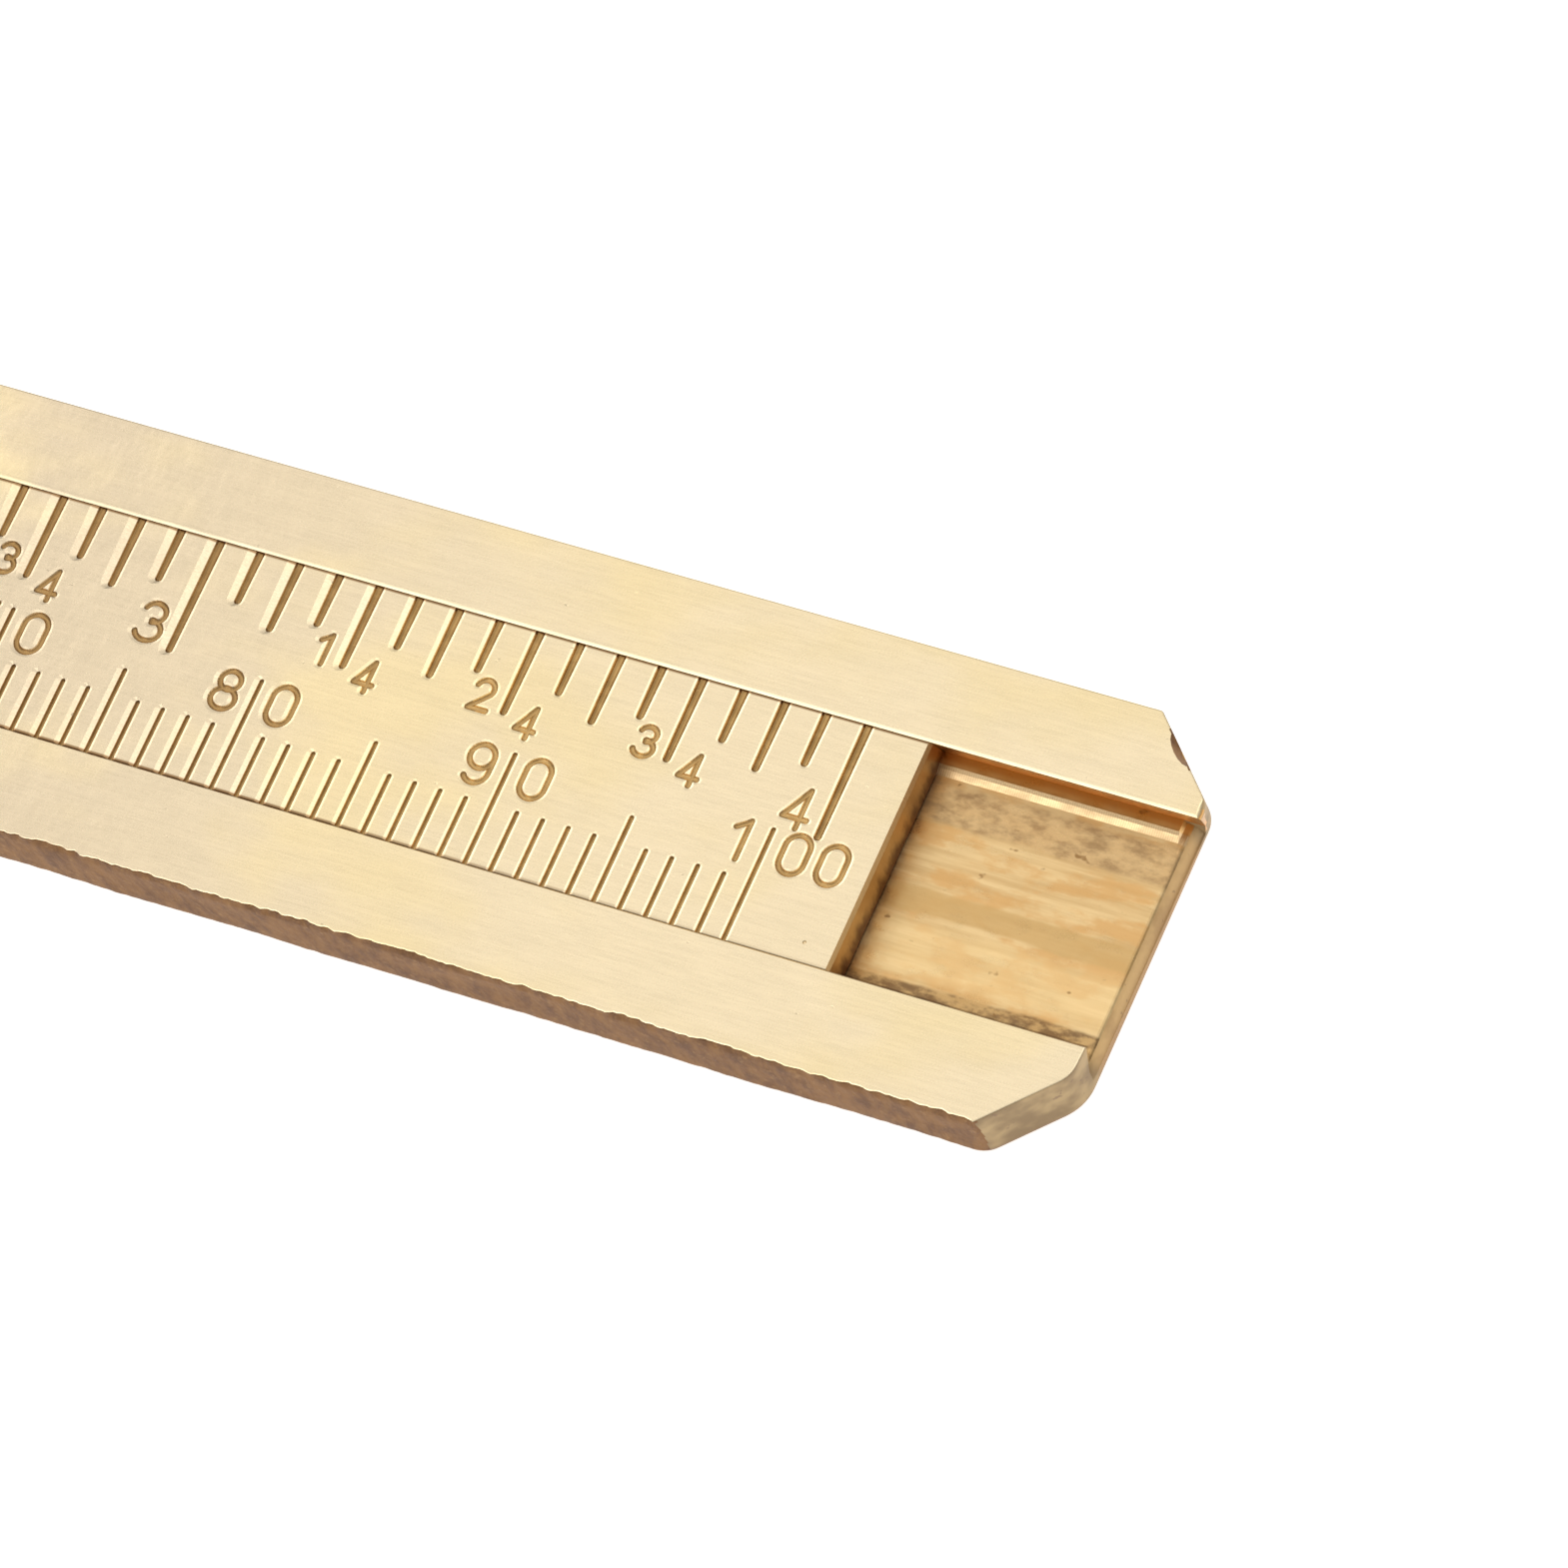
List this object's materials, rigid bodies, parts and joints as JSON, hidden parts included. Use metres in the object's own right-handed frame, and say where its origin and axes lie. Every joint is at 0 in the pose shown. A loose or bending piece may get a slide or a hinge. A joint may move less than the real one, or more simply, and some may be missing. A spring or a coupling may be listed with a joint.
{
  "type": "pocket slide caliper",
  "caption": "Flat brass slide caliper: a graduated slide runs in a dovetail channel of the body, with a fixed and a sliding jaw for outside and inside measuring.",
  "frame": {"origin": "on the flat back, on the body's centre line, straight under the zero graduation; the jaws are closed", "axes": "+X along the body towards its tail, so x in millimetres is the scale's reading; +Y across the body, away from the jaws' tips; +Z out of the graduated face"},
  "size_m": [0.1283, 0.0381, 0.0026],
  "materials": {
    "body_brass": "fine brushed along the length, with darker sawn or sheared long edges",
    "slide_brass": "fine brushed, engraved graduations and numerals with brown toning in the cuts",
    "jaw_brass": "fine brushed, lapped measuring faces",
    "rivet_brass": "dressed flush with the faces",
    "spring_bronze": "rolled phosphor bronze strip",
    "pin_steel": "ground steel pin"
  },
  "bodies": {
    "body": {"beam": "body_brass", "fixed_jaw": "jaw_brass", "fixed_jaw_rivet_1": "rivet_brass", "fixed_jaw_rivet_2": "rivet_brass", "stop_pin": "pin_steel"},
    "slide": {"slide_bar": "slide_brass", "sliding_jaw": "jaw_brass", "slide_rivet_1": "rivet_brass", "slide_rivet_2": "rivet_brass", "friction_spring": "spring_bronze", "spring_rivet": "rivet_brass"}
  },
  "joints": [
    {"name": "slide_travel", "type": "slide", "parent": "body", "child": "slide", "axis": [-1, 0, 0], "range_m": [0, 0.1]}
  ]
}
